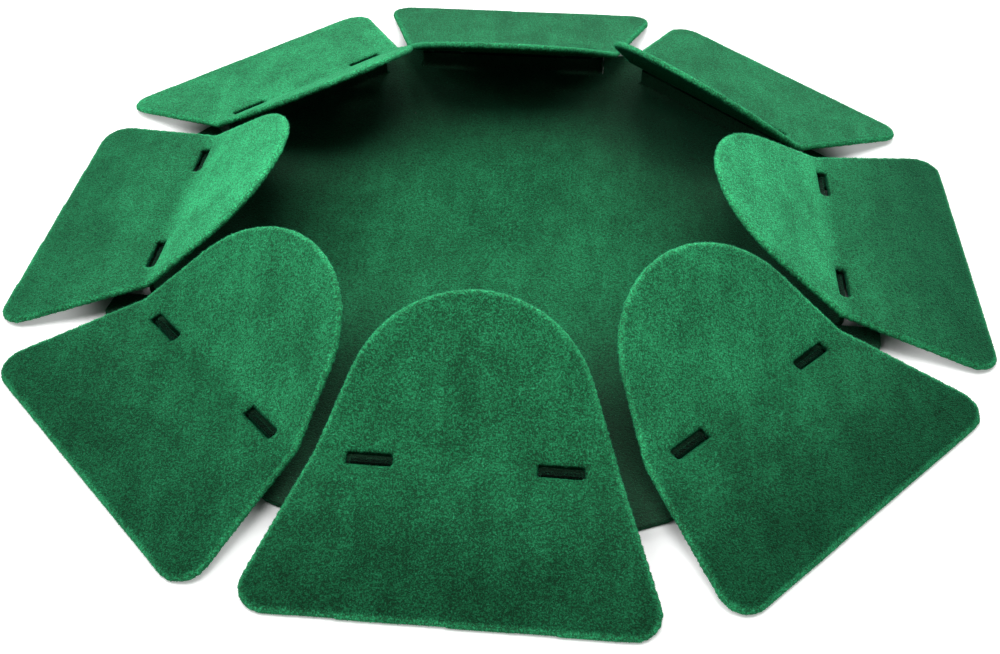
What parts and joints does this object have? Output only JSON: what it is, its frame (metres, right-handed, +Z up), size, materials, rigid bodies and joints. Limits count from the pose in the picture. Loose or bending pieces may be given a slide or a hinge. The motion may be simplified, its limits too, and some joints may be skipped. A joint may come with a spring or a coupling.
{
  "type": "golf putting practice cup",
  "caption": "Flocked sheet-metal putting target: a flat octagonal base ringed by rocking flaps that let a rolling ball in from any side and hold it.",
  "frame": {"origin": "on the floor under the middle of the base", "axes": "+Z up; the front flap faces -Y, the right flap faces +X"},
  "size_m": [0.1896, 0.1907, 0.0257],
  "materials": {
    "base_flock": "green flocked (velvet) coat on sheet steel, matt",
    "flap_flock": "green flocked (velvet) coat on sheet steel, matt"
  },
  "bodies": {
    "base": {"base_plate": "base_flock"},
    "flap_front": {"flap_front": "flap_flock"},
    "flap_front_right": {"flap_front_right": "flap_flock"},
    "flap_right": {"flap_right": "flap_flock"},
    "flap_back_right": {"flap_back_right": "flap_flock"},
    "flap_back": {"flap_back": "flap_flock"},
    "flap_back_left": {"flap_back_left": "flap_flock"},
    "flap_left": {"flap_left": "flap_flock"},
    "flap_front_left": {"flap_front_left": "flap_flock"}
  },
  "joints": [
    {"name": "front_flap_rock", "type": "hinge", "parent": "base", "child": "flap_front", "pos_m": [-0.00032, -0.06675, 0.00526], "axis": [-0.9997, 0.0262, 0], "range_deg": [0, 48.3]},
    {"name": "front_right_flap_rock", "type": "hinge", "parent": "base", "child": "flap_front_right", "pos_m": [0.04805, -0.04804, 0.00526], "axis": [-0.7009, -0.7133, 0], "range_deg": [0, 45.9]},
    {"name": "right_flap_rock", "type": "hinge", "parent": "base", "child": "flap_right", "pos_m": [0.06755, 0, 0.00526], "axis": [0, -1, 0], "range_deg": [0, 40.1]},
    {"name": "back_right_flap_rock", "type": "hinge", "parent": "base", "child": "flap_back_right", "pos_m": [0.04655, 0.047, 0.00526], "axis": [0.7254, -0.6884, 0], "range_deg": [0, 49.2]},
    {"name": "back_flap_rock", "type": "hinge", "parent": "base", "child": "flap_back", "pos_m": [-0.00099, 0.06715, 0.00526], "axis": [0.9998, -0.0175, 0], "range_deg": [0, 39.2]},
    {"name": "back_left_flap_rock", "type": "hinge", "parent": "base", "child": "flap_back_left", "pos_m": [-0.04754, 0.04813, 0.00526], "axis": [0.7193, 0.6947, 0], "range_deg": [0, 39.6]},
    {"name": "left_flap_rock", "type": "hinge", "parent": "base", "child": "flap_left", "pos_m": [-0.06555, 0.00002, 0.00526], "axis": [0.0349, 0.9994, 0], "range_deg": [0, 43.5]},
    {"name": "front_left_flap_rock", "type": "hinge", "parent": "base", "child": "flap_front_left", "pos_m": [-0.04734, -0.04805, 0.00526], "axis": [-0.7071, 0.7071, 0], "range_deg": [0, 43.5]}
  ]
}
